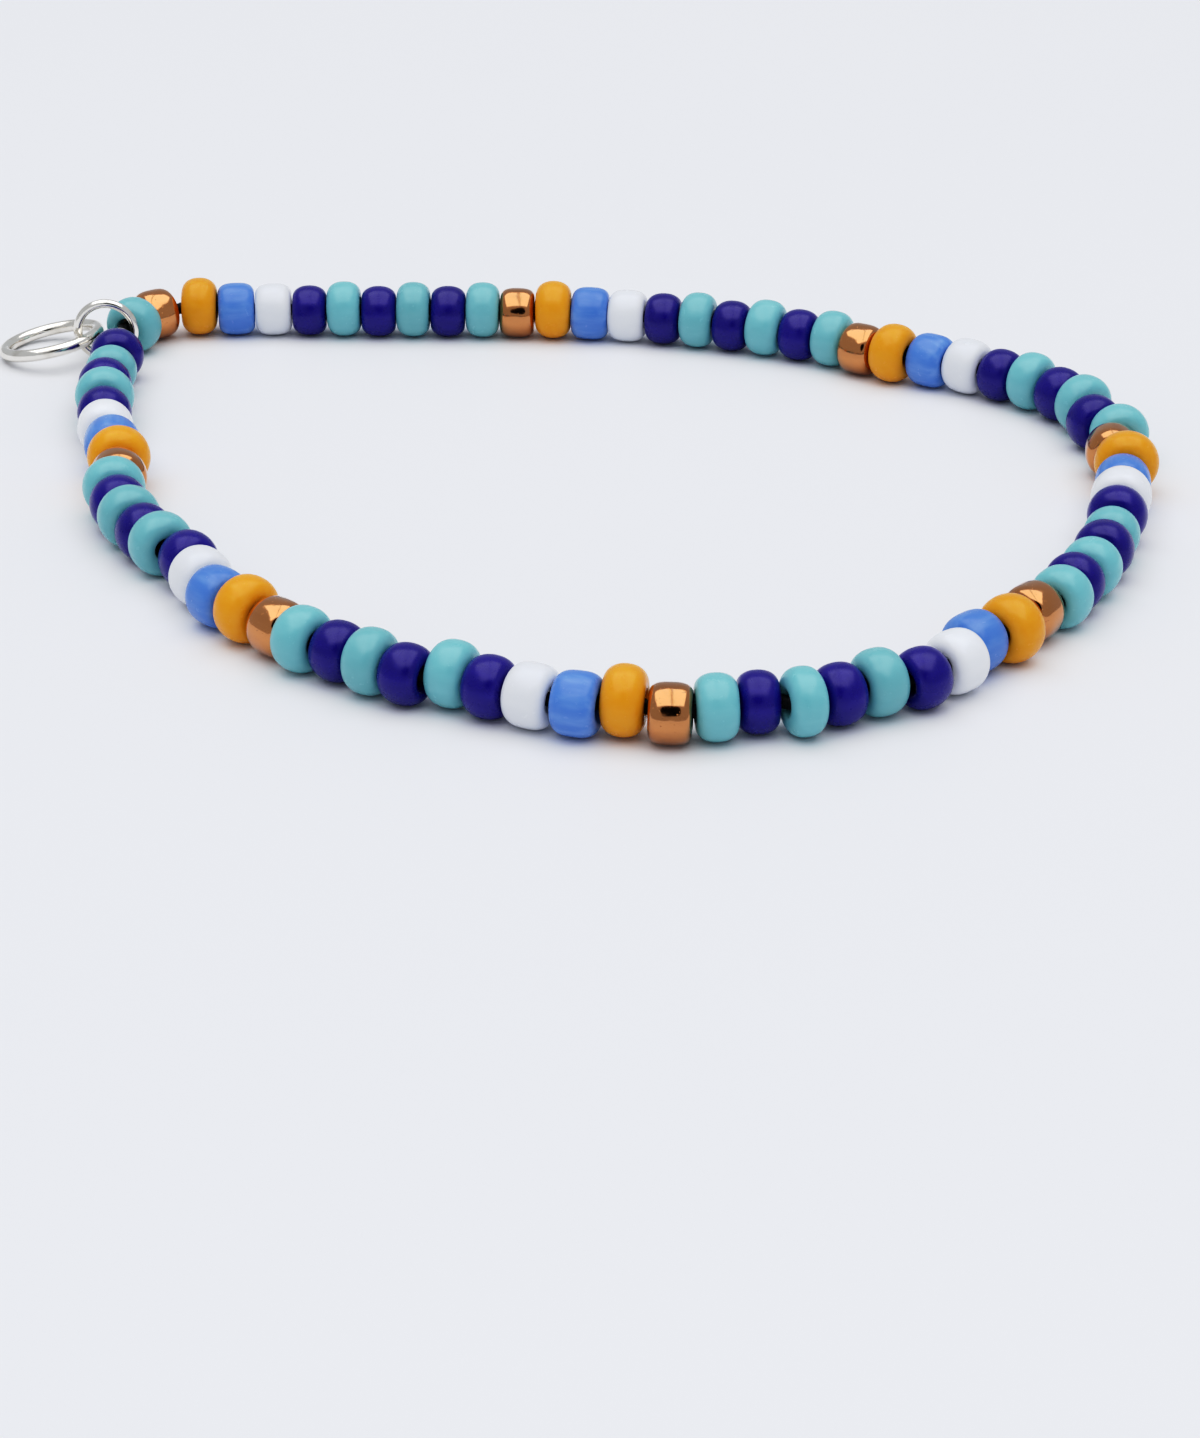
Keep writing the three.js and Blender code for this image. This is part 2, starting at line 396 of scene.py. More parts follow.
@dataclass(frozen=True)
class PlatedGlass(Finish):
    """Glass with a mirror coat of copper under a clear glaze, brown where the rims rub, with painted shade
    darkening the bore.
    """

    colour: Colour
    # the streak colour, which is also the rubbed rims and the painted shade in the bore
    thin_coat_and_shade: Colour
    streaks: float = 0.2
    gloss: float = 0.13
    unevenness: float = 0.1
    ripple_depth: float = 0.05
    wear_and_shade_reach: float = 0.78
    wear_dullness: float = 0.12
    glaze: float = 0.6
    glaze_gloss: float = 0.08

    def dress(self, nodes: Nodes, shader: bpy.types.Node) -> None:
        """Lay the coat over the bead, wear it off round the bore, and paint shade into the bore."""
        marks = bead_marks(nodes)
        # the mask covers the bore and its rims: rubbed coat, and painted shade in the bore
        worn_and_shaded = WornAndShadedRims.add_to(nodes, marks | {"Reach": self.wear_and_shade_reach})["Mask"]
        body = DrawnGlass.add_to(nodes, marks | {
            "Colour": self.colour, "Streak Colour": self.thin_coat_and_shade, "Streaks": self.streaks,
        })
        skin = FiredSkin.add_to(nodes, marks | {"Gloss": self.gloss, "Unevenness": self.unevenness})
        nodes.feed(shader, {
            # painted shade: the brown rim colour also darkens the inside of the bore, where shade falls
            "Base Color": nodes.mix(worn_and_shaded, body["Colour"], self.thin_coat_and_shade),
            "Metallic": 1.0,
            "Roughness": nodes.math("MULTIPLY_ADD", worn_and_shaded, self.wear_dullness, skin["Roughness"]),
            "Normal": nodes.bump(skin["Height"], self.ripple_depth),
            "Coat Weight": self.glaze,
            "Coat Roughness": self.glaze_gloss,
        })


@dataclass(frozen=True)
class Silver(Finish):
    """Polished silver wire, a little yellowed, with fine scratches from handling."""

    colour: Colour
    tarnish: Colour
    gloss: float = 0.14
    most_tarnish: float = 0.6
    tarnish_dullness: float = 0.18
    scratch_depth: float = 0.004

    CLOUD = Grain(900.0, 3.0, seed=1.0)
    CLOUD_RANGE = (0.45, 0.75)
    SCRATCH = Grain(2500.0, 2.0, seed=2.0)
    SCRATCH_SHAPE = (1.0, 7.0, 7.0)

    def dress(self, nodes: Nodes, shader: bpy.types.Node) -> None:
        """Cloud the colour with tarnish, and scratch the polish."""
        place = nodes.add("ShaderNodeTexCoord").outputs["Object"]
        cloud = nodes.ramp(nodes.noise(place, self.CLOUD), *self.CLOUD_RANGE, 0.0, self.most_tarnish)
        drawn = nodes.add("ShaderNodeMapping", {"Vector": place, "Scale": self.SCRATCH_SHAPE}).outputs[0]
        nodes.feed(shader, {
            "Base Color": nodes.mix(cloud, self.colour, self.tarnish),
            "Metallic": 1.0,
            "Roughness": nodes.math("MULTIPLY_ADD", cloud, self.tarnish_dullness, self.gloss),
            "Normal": nodes.bump(nodes.noise(drawn, self.SCRATCH), self.scratch_depth),
        })


@dataclass(frozen=True)
class WaxedCord(Finish):
    """Black twisted cord with a thin coat of wax."""

    colour: Colour
    dusty: Colour
    fibres: float = 9.0
    fibre_lean: float = 2.0
    fibre_depth: float = 0.012

    WAX = Grain(2200.0, 3.0, seed=3.0)
    WAX_RANGE = (0.35, 0.7)
    ROUGHNESS = (0.42, 0.68)  # bare, and under the thickest wax

    def dress(self, nodes: Nodes, shader: bpy.types.Node) -> None:
        """Lay fibres along the plies, and let the wax dull them in patches."""
        place = nodes.add("ShaderNodeTexCoord").outputs
        both = nodes.add("ShaderNodeSeparateXYZ", {0: place["UV"]}).outputs
        round_cord = nodes.math("MULTIPLY", both["Y"], self.fibres)
        phase = nodes.math("MULTIPLY_ADD", both["X"], self.fibre_lean, round_cord)
        fibres = nodes.math("SINE", nodes.math("MULTIPLY", phase, math.tau))
        wax = nodes.ramp(nodes.noise(place["Object"], self.WAX), *self.WAX_RANGE)
        nodes.feed(shader, {
            "Base Color": nodes.mix(wax, self.colour, self.dusty),
            "Roughness": nodes.ramp(wax, 0.0, 1.0, *self.ROUGHNESS),
            "Normal": nodes.bump(fibres, self.fibre_depth),
        })


@dataclass(frozen=True)
class Tabletop(Finish):
    """The plain pale surface under the bracelet."""

    colour: Colour
    shade: Colour
    roughness: float = 0.62
    shine: float = 0.3

    CLOUD = Grain(12.0, 2.0, seed=4.0)

    def dress(self, nodes: Nodes, shader: bpy.types.Node) -> None:
        """Give the surface a barely clouded matt white."""
        place = nodes.add("ShaderNodeTexCoord").outputs["Object"]
        nodes.feed(shader, {
            "Base Color": nodes.mix(nodes.noise(place, self.CLOUD), self.colour, self.shade),
            "Roughness": self.roughness,
            "Specular IOR Level": self.shine,
        })


@dataclass(frozen=True)
class BlackPaint(Finish):
    """The matt black of the lens, with a little dust on it."""

    colour: Colour
    dust: Colour
    most_dust: float = 0.1
    roughness: float = 0.6
    shine: float = 0.1

    SPECK = Grain(60.0, 3.0, seed=5.0)
    SPECK_RANGE = (0.5, 0.9)

    def dress(self, nodes: Nodes, shader: bpy.types.Node) -> None:
        """Cloud the black a little with dust."""
        place = nodes.add("ShaderNodeTexCoord").outputs["Object"]
        dust = nodes.ramp(nodes.noise(place, self.SPECK), *self.SPECK_RANGE, 0.0, self.most_dust)
        nodes.feed(shader, {
            "Base Color": nodes.mix(dust, self.colour, self.dust),
            "Roughness": self.roughness,
            "Specular IOR Level": self.shine,
        })


# ---- Shapes ----


def middle_of(node: str) -> Vector:
    """Return the middle of a node's box in the frame, in millimetres."""
    low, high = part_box(node)
    return (low + high) / 2 / MM


def closed_line(
    shape: bmesh.types.BMesh, points: Sequence[Sequence[float]]
) -> tuple[list[bmesh.types.BMVert], list[bmesh.types.BMEdge]]:
    """Draw a closed line through points.

    Args:
        shape: The shape that it is drawn in.
        points: Its corners, in order.

    Returns:
        Its vertices and its edges, in the same order.
    """
    corners = [shape.verts.new(point) for point in points]
    edges = [shape.edges.new(pair) for pair in zip(corners, corners[1:] + corners[:1])]
    return corners, edges


def turn_round(
    shape: bmesh.types.BMesh, geometry: list[Any], axis: Vector, steps: int, angle: float = math.tau
) -> None:
    """Turn a profile round an axis through the origin by an angle in radians, or once round."""
    bmesh.ops.spin(
        shape, geom=geometry, cent=(0.0, 0.0, 0.0), axis=axis, angle=angle, steps=steps,
        use_merge=angle == math.tau,
    )


def make_object(name: str, shape: bmesh.types.BMesh, finish: Finish) -> bpy.types.Object:
    """Make a shape an object at the origin.

    Args:
        name: The object's name.
        shape: The shape in its place, in metres. It is used up.
        finish: What it is made of.

    Returns:
        The object, in the scene.
    """
    mesh = bpy.data.meshes.new(name)
    shape.to_mesh(mesh)
    shape.free()
    mesh.materials.append(finish.material())
    made = bpy.data.objects.new(name, mesh)
    bpy.context.scene.collection.objects.link(made)
    return made


def finish_piece(
    name: str, shape: bmesh.types.BMesh, finish: Finish, replaced: Sequence[str]
) -> bpy.types.Object:
    """Make a modelled shape a piece of the bracelet.

    Args:
        name: The piece's name.
        shape: The shape in its place, in millimetres. It is used up.
        finish: What the piece is made of.
        replaced: The nodes of the frame that the piece stands for.

    Returns:
        The piece, in metres, with its place in its mesh.
    """
    bmesh.ops.remove_doubles(shape, verts=shape.verts, dist=WELD)
    bmesh.ops.recalc_face_normals(shape, faces=shape.faces)
    bmesh.ops.scale(shape, vec=(MM, MM, MM), verts=shape.verts)
    for face in shape.faces:
        face.smooth = True
    piece = make_object(name, shape, finish)
    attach(piece, BODY)
    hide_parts(*replaced)
    log.info("%s: %d faces", name, len(piece.data.polygons))
    return piece


# ---- Beads ----


class Glass(Enum):
    """The colours of bead on the strand."""

    TURQUOISE = "turquoise"
    COPPER = "copper"
    AMBER = "amber"
    LIGHT_BLUE = "light_blue"
    WHITE = "white"
    COBALT = "cobalt"


FINISHES: dict[Glass, Finish] = {
    Glass.TURQUOISE: OpaqueGlass(
        "turquoise_glass", linear(0x77B7BE), linear(0x8AC6CC), sink=0.55, sink_reach=0.6
    ),
    # the second colour gives the streaks, the rubbed rims and the painted shade in the bore
    Glass.COPPER: PlatedGlass("copper_glass", linear(0xC98A58), linear(0x9A6440)),
    Glass.AMBER: OpaqueGlass(
        "amber_glass", linear(0xE99E26), linear(0xF0B24A), shine_colour=linear(0xFFE8C0), sink=0.5
    ),
    Glass.LIGHT_BLUE: OpaqueGlass("light_blue_glass", linear(0x5482D2), linear(0x80A8E6), streaks=0.45),
    Glass.WHITE: OpaqueGlass("white_glass", linear(0xE8EBF2), linear(0xF1F3F8), sink=0.8, sink_reach=1.1),
    Glass.COBALT: OpaqueGlass(
        "cobalt_glass", linear(0x1A0974), linear(0x26128E), streaks=0.35, sink=0.1,
        gloss=0.28, shine=0.7, shine_colour=linear(0xD0C8FF),
    ),
}


@dataclass(frozen=True)
class BeadForm:
    """The shape of one colour of bead.

    Attributes:
        diameter: Outside diameter.
        length: Length along the bore.
        roundness: Exponent of the outside curve. Two is a circle, and more is a squarer barrel.
        face: Diameter of the flat end, from which the outside curves away.
        bore: Diameter of the hole.
    """

    diameter: float
    length: float
    roundness: float
    face: float = 1.6
    bore: float = 1.15

    OUTER_STEPS = 18
    INNER_STEPS = 8  # through the bore
    BORE_ROUNDNESS = 5.0
    SIDES = 48

    def section(self) -> list[Vector]:
        """Return the closed outline of the wall, with X along the bore and Z out from the axis."""
        arcs = (
            (self.OUTER_STEPS, 0.0, (self.diameter - self.face) / 2, self.roundness),
            (self.INNER_STEPS, math.pi, (self.face - self.bore) / 2, self.BORE_ROUNDNESS),
        )
        outline = []
        for steps, start, height, roundness in arcs:
            for step in range(steps):
                angle = start + math.pi * step / steps
                across = math.copysign(abs(math.cos(angle)) ** (2 / roundness), math.cos(angle))
                out = math.copysign(abs(math.sin(angle)) ** (2 / roundness), math.sin(angle))
                outline.append(Vector((across * self.length / 2, 0.0, self.face / 2 + out * height)))
        return outline

    def model(self) -> bmesh.types.BMesh:
        """Turn the section once round the bore, and return the bead about its own middle."""
        bead = bmesh.new()
        corners, edges = closed_line(bead, self.section())
        turn_round(bead, corners + edges, X_AXIS, self.SIDES)
        return bead


FORMS = {
    Glass.TURQUOISE: BeadForm(3.17, 1.94, 2.3),
    Glass.COBALT: BeadForm(2.92, 1.98, 2.15),
    Glass.COPPER: BeadForm(2.87, 1.98, 2.9),
    Glass.AMBER: BeadForm(3.29, 2.04, 2.2),
    Glass.LIGHT_BLUE: BeadForm(2.98, 2.12, 2.8),
    Glass.WHITE: BeadForm(3.0, 2.1, 2.6),
}

REPEAT = (
    Glass.TURQUOISE, Glass.COPPER, Glass.AMBER, Glass.LIGHT_BLUE, Glass.WHITE,
    Glass.COBALT, Glass.TURQUOISE, Glass.COBALT, Glass.TURQUOISE, Glass.COBALT,
)


@dataclass(frozen=True)
class Quirk:
    """How one bead differs from the usual bead of its colour, and from its place on the route.

    Attributes:
        turned: How far it is askew, in degrees anticlockwise, or None for a random turn.
        slid: How far along the cord it has slid.
        outward: How far it has been pushed out of the loop.
        width: Its diameter, as a share of the usual one.
        length: Its length, as a share of the usual one.
    """

    turned: float | None = None
    slid: float = 0.0
    outward: float = 0.0
    width: float = 1.0
    length: float = 1.0


USUAL = Quirk()
PUSHED = {
    1: -0.2, 2: 0.5, 3: 0.5, 4: 0.4, 5: 0.3, 6: 0.2, 7: 0.1,
    67: 0.3, 68: 0.35, 69: 0.35, 70: 0.4, 71: 0.2,
    72: -0.2, 73: -0.35, 74: -0.35, 75: -0.35, 76: -0.35, 77: -0.3,
}  # beads that are only pushed out of the loop, or into it
QUIRKS = {number: Quirk(outward=push) for number, push in PUSHED.items()} | {
    30: Quirk(slid=0.15, outward=-0.5),
    31: Quirk(slid=0.15, outward=0.15),
    32: Quirk(slid=0.15, outward=-0.5),
    33: Quirk(slid=0.15, outward=0.15, width=1.02),
    34: Quirk(width=0.96),
    35: Quirk(slid=-0.15, width=1.04),
    36: Quirk(slid=-0.1, width=1.05),
    37: Quirk(width=0.9),
    38: Quirk(slid=-0.1, width=1.03),
    39: Quirk(width=0.94),
    40: Quirk(slid=-0.15, outward=-0.15, length=0.88),
    41: Quirk(slid=-0.45, width=0.96),
    42: Quirk(slid=-0.55, outward=-0.45),
    46: Quirk(slid=0.2),
    47: Quirk(slid=0.24),
    48: Quirk(slid=0.26),
    49: Quirk(turned=-1.0, slid=0.18, length=0.88),
    50: Quirk(turned=-7.0, length=0.94),
    51: Quirk(turned=-3.0, slid=-0.04),
    52: Quirk(turned=-5.0, slid=-0.02),
    53: Quirk(turned=-1.0, slid=-0.02, length=0.98),
    54: Quirk(turned=1.0, slid=-0.13, length=0.97),
    55: Quirk(turned=0.0, slid=-0.15, length=0.99),
    56: Quirk(slid=-0.06),
    79: Quirk(width=0.9),
    80: Quirk(slid=0.1, width=1.05),
}


@dataclass(frozen=True)
class StrungBead:
    """One bead in its place on the strand.

    Attributes:
        number: Its number, from 1 at the join.
        glass: Its colour.
        centre: Its middle.
        heading: The way the strand runs through it, in radians.
    """

    number: int
    glass: Glass
    centre: Vector
    heading: float

    @property
    def form(self) -> BeadForm:
        """The bead's shape."""
        return FORMS[self.glass]

    @property
    def quirk(self) -> Quirk:
        """The bead's own differences."""
        return QUIRKS.get(self.number, USUAL)

    @property
    def resting_place(self) -> Vector:
        """Its middle once it has slid along the cord and been pushed aside."""
        outward = along(self.heading + math.pi / 2)
        return self.centre + along(self.heading) * self.quirk.slid + outward * self.quirk.outward

    @property
    def node(self) -> str:
        """The stretch of the frame that holds the bead."""
        first = self.number - (self.number - 1) % BEADS_PER_STRETCH
        members = range(first, first + BEADS_PER_STRETCH)
        return "beads_" + "_".join(f"{member:02d}" for member in members)


@dataclass(frozen=True)
class Bend:
    """A run of beads over which the strand turns evenly clockwise.

    Attributes:
        beads: How many beads there are in it.
        turn: How far the strand turns in all, in degrees.
        play: Free length of cord for each bead.
    """

    beads: int
    turn: float
    play: float


class Strand:
    """The route of the cord and the place of every bead on it, the same as the frame's.

    The strand goes round clockwise, seen from above. Beads are straight, so it bends between them.
    """

    BEAD_COUNT = 80
    START = Vector((-24.24, 23.62, 0.0))
    START_HEADING = 67.0
    FACE_RADIUS = 0.6  # how far from the cord two beads touch in a bend
    ROUTE = (
        Bend(2, 65, 0.05), Bend(9, 4, 0.05), Bend(7, 20, 0.05), Bend(4, 14, 0.05), Bend(4, 6, 0.02),  # back
        Bend(2, 15, 0.02), Bend(3, 38, 0.02), Bend(5, 11, 0.22), Bend(5, 21, 0.22),  # right
        Bend(4, 16, 0.01), Bend(3, 18, 0.0), Bend(3, 18, 0.0), Bend(3, 28, 0.0),  # front
        Bend(4, 3, 0.0), Bend(3, 13, 0.0),
        Bend(2, 8, 0.2), Bend(3, 11, 0.25), Bend(6, 18, 0.0), Bend(2, 5, 0.22), Bend(5, -2, 0.22),  # left
    )
    SETTLED = {
        22: -0.4, 23: -0.4, 24: 0.2, 25: 0.6, 26: 0.8, 27: 0.8, 28: 0.6, 29: 0.3,
        44: -0.5, 45: 0.3, 46: 0.5, 49: 0.4, 50: -0.4, 52: 0.2, 53: -0.5,
        57: -0.2, 58: 0.6, 59: 0.5, 60: 0.2, 61: 0.4, 65: -0.5, 66: -1.0, 67: -0.8,
        68: -0.7, 69: -0.5, 70: -0.5, 71: -0.4, 72: -0.5, 73: -0.5, 74: -0.2,
        75: 0.2, 76: 0.35, 77: 0.35, 78: 0.1, 79: -0.2, 80: -0.5,
    }  # how far out of the loop a bead has settled
    MOST_OUTSIDE = 0.02  # how far a bead may stand out of its stretch of the frame

    def __init__(self) -> None:
        """Lay the beads out one after another along the route."""
        bends = [bend for bend in self.ROUTE for _ in range(bend.beads)]
        self.beads: list[StrungBead] = []
        place = self.START.copy()
        heading = math.radians(self.START_HEADING)
        for number in range(1, self.BEAD_COUNT + 1):
            glass = REPEAT[(number - 1) % len(REPEAT)]
            form = FORMS[glass]
            outward = along(heading + math.pi / 2) * self.SETTLED.get(number, 0.0)
            centre = place + outward + UP * form.diameter / 2
            self.beads.append(StrungBead(number, glass, centre, heading))
            if number == self.BEAD_COUNT:
                break
            bend = bends[number - 1]
            turn = math.radians(bend.turn / bend.beads)
            half_gap = bend.play / 2 + self.FACE_RADIUS * math.tan(abs(turn) / 2)
            following = FORMS[REPEAT[number % len(REPEAT)]]
            place += along(heading) * (form.length / 2 + half_gap)
            heading -= turn
            place += along(heading) * (half_gap + following.length / 2)

    def check_frame(self) -> None:
        """Stop if a bead's middle isn't in the stretch of the frame that holds it."""
        for bead in self.beads:
            low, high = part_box(bead.node)
            middle = bead.centre * MM
            slack = self.MOST_OUTSIDE * MM
            if any(not low[k] - slack <= middle[k] <= high[k] + slack for k in range(3)):
                raise ValueError(f"bead {bead.number} isn't in {bead.node}")

    @property
    def cord_start(self) -> Vector:
        """Where the bare cord leaves the last bead."""
        last = self.beads[-1]
        return last.centre + along(last.heading) * last.form.length / 2

    @property
    def cord_end(self) -> Vector:
        """Where the bare cord goes into the first bead."""
        first = self.beads[0]
        return first.centre - along(first.heading) * first.form.length / 2


@dataclass
class Beads:
    """All the beads, each a piece of its own, with the small differences that real beads have.

    Attributes:
        strand: Where they are.
        yaw: Spread of a bead's turn on the cord, seen from above, in degrees.
        pitch: Spread of its lean along the cord, in degrees.
        fatter: Spread of the diameter, as a share.
        longer: Spread of the length, as a share.
    """

    strand: Strand
    yaw: float = 1.3
    pitch: float = 1.0
    fatter: float = 0.008
    longer: float = 0.008

    def build(self) -> list[bpy.types.Object]:
        """Model and dress every bead, and return the pieces in the order they are strung."""
        chance = random.Random(SEED)
        return [self.bead(bead, chance) for bead in self.strand.beads]

    def bead(self, bead: StrungBead, chance: random.Random) -> bpy.types.Object:
        """Model one bead and set it down on the table.

        Args:
            bead: The bead's place and colour.
            chance: The source of its small differences.

        Returns:
            The finished piece.
        """
        shape = bead.form.model()
        self.mark(shape, chance.random())
        width = bead.quirk.width + chance.gauss(0, self.fatter)
        length = bead.quirk.length + chance.gauss(0, self.longer)
        bmesh.ops.scale(shape, vec=(length, width, width), verts=shape.verts)
        roll = Matrix.Rotation(chance.uniform(0, math.tau), 4, "X")
        lean = Matrix.Rotation(math.radians(chance.gauss(0, self.pitch)), 4, "Y")
        random_turn = chance.gauss(0, self.yaw)
        askew = math.radians(random_turn if bead.quirk.turned is None else bead.quirk.turned)
        turn = Matrix.Rotation(bead.heading + askew, 4, "Z")
        place = Matrix.Translation(bead.resting_place)
        bmesh.ops.transform(shape, matrix=place @ turn @ lean @ roll, verts=shape.verts)
        lowest = min(vertex.co.z for vertex in shape.verts)
        bmesh.ops.translate(shape, vec=(0, 0, -lowest), verts=shape.verts)
        name = f"bead_{bead.number:02d}_{bead.glass.value}"
        return finish_piece(name, shape, FINISHES[bead.glass], [bead.node])

    @staticmethod
    def mark(shape: bmesh.types.BMesh, lot: float) -> None:
        """Write each vertex's place in the bead and the bead's lot for the finish to read.

        Args:
            shape: The bead about its own middle.
            lot: The bead's lot, from 0 to 1.
        """
        place_layer = shape.verts.layers.float_vector.new(PLACE)
        lot_layer = shape.verts.layers.float.new(LOT)
        for vertex in shape.verts:
            vertex[place_layer] = vertex.co
            vertex[lot_layer] = lot


# ---- Cord and silver ----

BLACK_CORD = WaxedCord("black_cord", linear(0x0B0B0D), linear(0x1A1A1D))
BRIGHT_SILVER = Silver("silver", linear(0xF2EEE6), linear(0xC8C0B2))


@dataclass
class Cord:
    """The twisted cord, from the crimp tube through every bead and back to it.

    Attributes:
        strand: The beads on it.
        diameter: Thickness over the plies.
        groove: Depth of the grooves between the plies, as a share of the radius.
        plies: How many plies are twisted together.
        lay: Length of one full twist.
        step: Length between two sections.
        sides: Corners of a section.
    """

    strand: Strand
    diameter: float = 0.7
    groove: float = 0.16
    plies: int = 3
    lay: float = 2.2
    step: float = 0.14
    sides: int = 12

    FEWEST_STEPS = 2  # from one bead to the next

    def route(self) -> list[Vector]:
        """Return points on a smooth line through the middles of the beads and the crimp tube."""
        crimp = middle_of("crimp_tube")
        stops = [crimp, self.strand.cord_end]
        stops += [bead.resting_place for bead in self.strand.beads]
        stops += [self.strand.cord_start, crimp]
        ways = [
            (after - before).normalized()
            for before, after in zip([stops[-2], *stops], [*stops[1:], stops[1]])
        ]
        points = []
        for number, (one, other) in enumerate(zip(stops, stops[1:])):
            length = (other - one).length
            steps = max(self.FEWEST_STEPS, round(length / self.step))
            first, second = one + ways[number] * length / 3, other - ways[number + 1] * length / 3
            points += interpolate_bezier(one, first, second, other, steps + 1)[:-1]
        return points + [crimp]

    def section(self) -> list[Vector]:
        """Return the outline of the twisted plies, across the cord."""
        outline = []
        for corner in range(self.sides):
            angle = math.tau * corner / self.sides
            ridge = 1 - self.groove * (1 - math.cos(self.plies * angle)) / 2
            outline.append(Vector((math.cos(angle), math.sin(angle), 0.0)) * ridge * self.diameter / 2)
        return outline

    def stations(self) -> list[tuple[float, Matrix]]:
        """Return the distance along the cord and the place of each section, turned by the twist."""
        points = self.route()
        stations = []
        travelled = 0.0
        for number, point in enumerate(points):
            before, after = points[max(number - 1, 0)], points[min(number + 1, len(points) - 1)]
            way = (after - before).normalized()
            side = way.cross(UP).normalized()
            axes = Matrix((side, side.cross(way), way)).transposed().to_4x4()
            if number:
                travelled += (point - points[number - 1]).length
            twist = Matrix.Rotation(math.tau * travelled / self.lay, 4, "Z")
            stations.append((travelled, Matrix.Translation(point) @ axes @ twist))
        return stations

    def build(self) -> bpy.types.Object:
        """Extrude the section from station to station, and return the finished cord."""
        shape = bmesh.new()
        uv = shape.loops.layers.uv.new("UVMap")
        (travelled, here), *others = self.stations()
        ring, edges = closed_line(shape, self.section())
        bmesh.ops.contextual_create(shape, geom=edges)
        bmesh.ops.transform(shape, matrix=here, verts=ring)
        for following, there in others:
            grown = bmesh.ops.extrude_edge_only(shape, edges=edges)["geom"]
            ring = [item for item in grown if isinstance(item, bmesh.types.BMVert)]
            band = [item for item in grown if isinstance(item, bmesh.types.BMFace)]
            leading = set(ring)
            edges = [
                item for item in grown
                if isinstance(item, bmesh.types.BMEdge) and leading.issuperset(item.verts)
            ]
            bmesh.ops.transform(shape, matrix=there @ here.inverted(), verts=ring)
            self.map_band(band, uv, travelled, following, leading)
            travelled, here = following, there
        bmesh.ops.contextual_create(shape, geom=edges)
        last = self.strand.beads[-1].node
        return finish_piece("twisted_cord", shape, BLACK_CORD, [last])

    def map_band(
        self,
        faces: list[bmesh.types.BMFace],
        uv: bmesh.types.BMLayerItem,
        behind: float,
        ahead: float,
        leading: set[bmesh.types.BMVert],
    ) -> None:
        """Map one band of faces: U counts twists along the cord, and V goes once round it.

        Args:
            faces: The band, in order round the cord.
            uv: The map.
            behind: Distance along the cord of the band's older ring.
            ahead: Distance along the cord of its newer ring.
            leading: The vertices of the newer ring.
        """
        for number, face in enumerate(faces):
            corners = {behind: 0, ahead: 0}
            for loop in face.loops:
                distance = ahead if loop.vert in leading else behind
                loop[uv].uv = (distance / self.lay, (number + corners[distance]) / self.sides)
                corners[distance] += 1


@dataclass
class CrimpTube:
    """The short tube that grips the two ends of the cord, pressed flat in its middle.

    Attributes:
        way: Direction of the cord through it.
        outer: Outside diameter.
        inner: Inside diameter.
        length: Length along the cord.
        edge: Width of the bevel at either end.
        pinch: Height of the pressed middle, as a share of the round tube's.
    """

    way: Vector
    outer: float = 1.6
    inner: float = 1.1
    length: float = 1.3
    edge: float = 0.14
    pinch: float = 0.62

    SIDES = 48
    CUTS = 14  # along the wall, so that it can be pressed
    RIM_ANGLE = 60.0  # between the faces at a rim, at the least
    BEVEL_STEPS = 3

    def build(self) -> bpy.types.Object:
        """Turn the tube, press its middle, and return the finished piece."""
        shape = bmesh.new()
        wall = ((-1, self.inner), (1, self.inner), (1, self.outer), (-1, self.outer))
        _, edges = closed_line(shape, [(end * self.length / 2, 0.0, across / 2) for end, across in wall])
        bmesh.ops.subdivide_edges(shape, edges=[edges[0], edges[2]], cuts=self.CUTS)
        turn_round(shape, shape.verts[:] + shape.edges[:], X_AXIS, self.SIDES)
        bmesh.ops.recalc_face_normals(shape, faces=shape.faces)
        least = math.radians(self.RIM_ANGLE)
        rims = [edge for edge in shape.edges if edge.calc_face_angle(0.0) > least]
        bmesh.ops.bevel(
            shape, geom=rims, offset=self.edge, segments=self.BEVEL_STEPS, profile=0.5,
            affect="EDGES", material=-1,
        )
        self.press(shape)
        turn = X_AXIS.rotation_difference(self.way).to_matrix().to_4x4()
        place = Matrix.Translation(middle_of("crimp_tube")) @ turn
        bmesh.ops.transform(shape, matrix=place, verts=shape.verts)
        return finish_piece("pressed_crimp", shape, BRIGHT_SILVER, ["crimp_tube"])

    def press(self, shape: bmesh.types.BMesh) -> None:
        """Flatten the middle of the tube on to the cord."""
        for vertex in shape.verts:
            share = math.cos(math.pi * min(abs(vertex.co.x) / self.length, 0.5)) ** 2
            vertex.co.z *= 1 - (1 - self.pinch) * share


